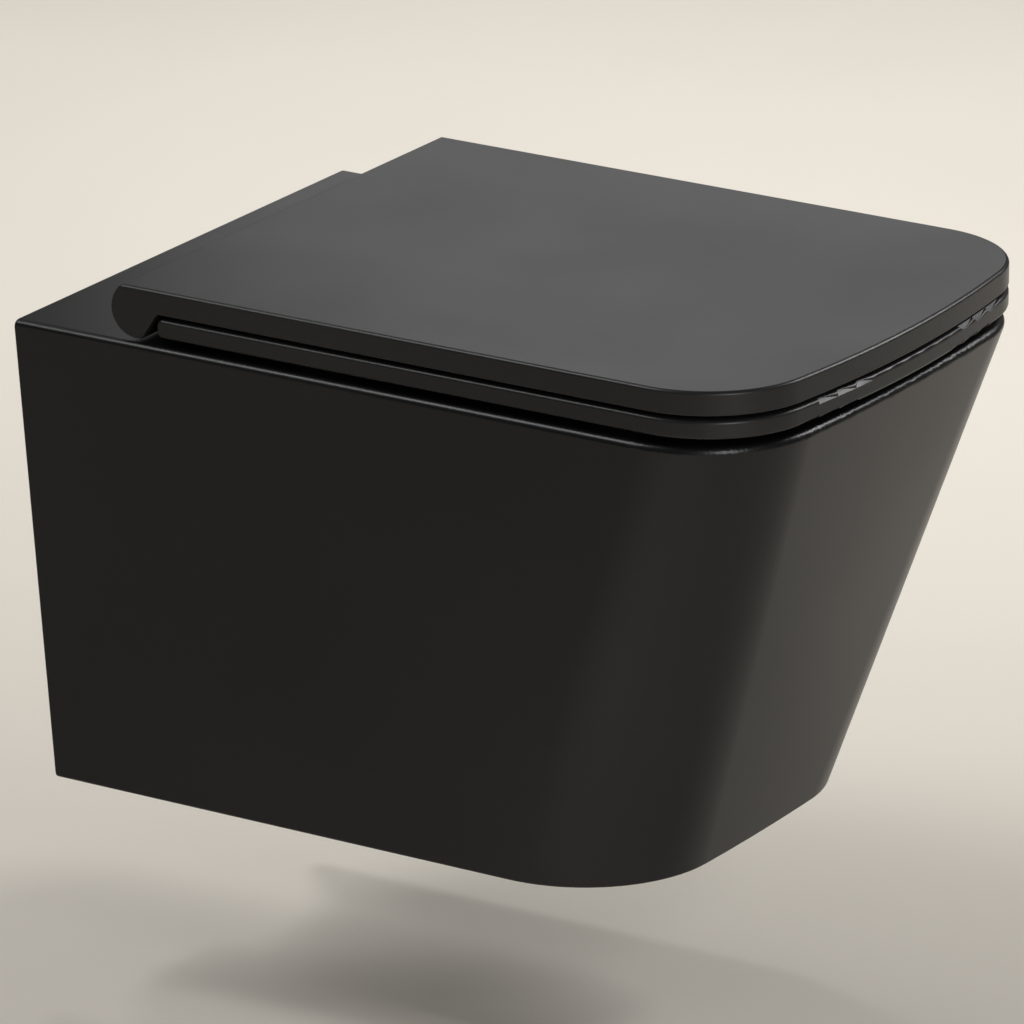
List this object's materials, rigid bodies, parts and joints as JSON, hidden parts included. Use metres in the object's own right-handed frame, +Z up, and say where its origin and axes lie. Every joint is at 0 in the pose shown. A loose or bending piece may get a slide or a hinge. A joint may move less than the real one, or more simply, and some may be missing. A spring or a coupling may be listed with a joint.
{
  "type": "wall hung toilet",
  "caption": "Square-fronted, fully skirted wall hung toilet pan in matt black ceramic with a slim soft-close lid and seat that lift about one hidden rear hinge.",
  "frame": {"origin": "midway between the two wall bolt holes, on the wall plane", "axes": "+Y into the wall, along the bolts; the pan's front faces -Y; +X to the right seen from the front; +Z up"},
  "size_m": [0.3689, 0.5227, 0.3427],
  "materials": {
    "ceramic": "matt black glaze",
    "seat_plastic": "satin black",
    "damper_plastic": "plain grey",
    "nylon": "natural white",
    "button_plastic": "satin black",
    "bumper_rubber": "soft black",
    "hinge_metal": "satin chrome",
    "steel": "plain stainless",
    "brass": "plain turned"
  },
  "bodies": {
    "pan": {"pan": "ceramic", "flow_restrictor": "nylon", "hinge_body_left": "hinge_metal", "hinge_body_right": "hinge_metal", "hinge_shaft_left": "steel", "hinge_shaft_right": "steel", "release_spring_left": "steel", "release_spring_right": "steel", "pivot_screw_left": "steel", "pivot_screw_right": "steel", "base_plate_left": "steel", "base_plate_right": "steel", "deck_gasket_left": "bumper_rubber", "deck_gasket_right": "bumper_rubber", "expansion_sleeve_left": "bumper_rubber", "expansion_sleeve_right": "bumper_rubber", "cone_nut_left": "brass", "cone_nut_right": "brass", "wall_sleeve_left": "nylon", "wall_sleeve_right": "nylon"},
    "lid": {"lid": "seat_plastic", "lid_bumpers": "bumper_rubber", "lid_damper": "damper_plastic", "lid_bush": "nylon"},
    "seat": {"seat": "seat_plastic", "seat_bumpers": "bumper_rubber", "seat_damper": "damper_plastic", "seat_bush": "nylon"},
    "latch_left": {"release_button_left": "button_plastic"},
    "latch_right": {"release_button_right": "button_plastic"}
  },
  "joints": [
    {"name": "lid_hinge", "type": "hinge", "parent": "pan", "child": "lid", "pos_m": [0, -0.0877, 0.1052], "axis": [-1, 0, 0], "range_deg": [0, 95]},
    {"name": "seat_hinge", "type": "hinge", "parent": "pan", "child": "seat", "pos_m": [0, -0.0877, 0.1052], "axis": [-1, 0, 0], "range_deg": [0, 90.25]},
    {"name": "latch_press_left", "type": "slide", "parent": "pan", "child": "latch_left", "axis": [0, -1, 0], "range_m": [0, 0.003], "stiffness_N_per_m": 400, "springref_m": -0.004, "deforming": ["release_spring_left"]},
    {"name": "latch_press_right", "type": "slide", "parent": "pan", "child": "latch_right", "axis": [0, -1, 0], "range_m": [0, 0.003], "stiffness_N_per_m": 400, "springref_m": -0.004, "deforming": ["release_spring_right"]}
  ],
  "couplings": [
    {"joint": "seat_hinge", "follows": "lid_hinge", "ratio": 0.95}
  ]
}
